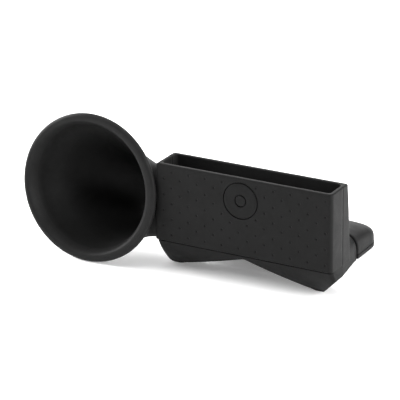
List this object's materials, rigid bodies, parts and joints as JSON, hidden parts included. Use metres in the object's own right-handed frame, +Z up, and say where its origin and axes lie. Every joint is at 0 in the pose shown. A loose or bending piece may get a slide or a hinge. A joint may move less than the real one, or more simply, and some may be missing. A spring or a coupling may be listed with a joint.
{
  "type": "passive phone horn dock",
  "caption": "Soft rubber phone stand: an open-topped pocket on notched feet, a tongue-shaped rear foot and a round horn on its left side that sends the phone's sound forward.",
  "frame": {"origin": "on the floor, under the middle of the object's bounding box", "axes": "+X to the dock's right end, away from the horn; +Y from the front panel towards the rear foot; +Z up, out of the pocket"},
  "size_m": [0.1134, 0.0652, 0.0504],
  "materials": {
    "rubber_bell_lip": "matte",
    "rubber_horn_bell": "matte",
    "rubber_horn_bowl": "matte",
    "rubber_horn_flare": "matte",
    "rubber_horn_elbow": "matte",
    "rubber_front_shell": "matte",
    "rubber_rear_shell": "matte",
    "rubber_base_front": "matte",
    "rubber_base_rear": "matte",
    "rubber_phone_ledge": "matte",
    "rubber_sound_tray": "matte",
    "rubber_badge_ring": "matte",
    "rubber_badge_button": "matte",
    "rubber_rear_foot": "matte",
    "rubber_foot_cap": "matte",
    "rubber_rear_foot_sole": "matte"
  },
  "bodies": {
    "root": {"bell_lip": "rubber_bell_lip", "horn_bell": "rubber_horn_bell", "horn_bowl": "rubber_horn_bowl", "horn_flare": "rubber_horn_flare", "horn_elbow": "rubber_horn_elbow", "front_shell": "rubber_front_shell", "rear_shell": "rubber_rear_shell", "base_front": "rubber_base_front", "base_rear": "rubber_base_rear", "phone_ledge": "rubber_phone_ledge", "sound_tray": "rubber_sound_tray", "badge_ring": "rubber_badge_ring", "badge_button": "rubber_badge_button", "rear_foot": "rubber_rear_foot", "foot_cap": "rubber_foot_cap", "rear_foot_sole": "rubber_rear_foot_sole"}
  },
  "joints": []
}
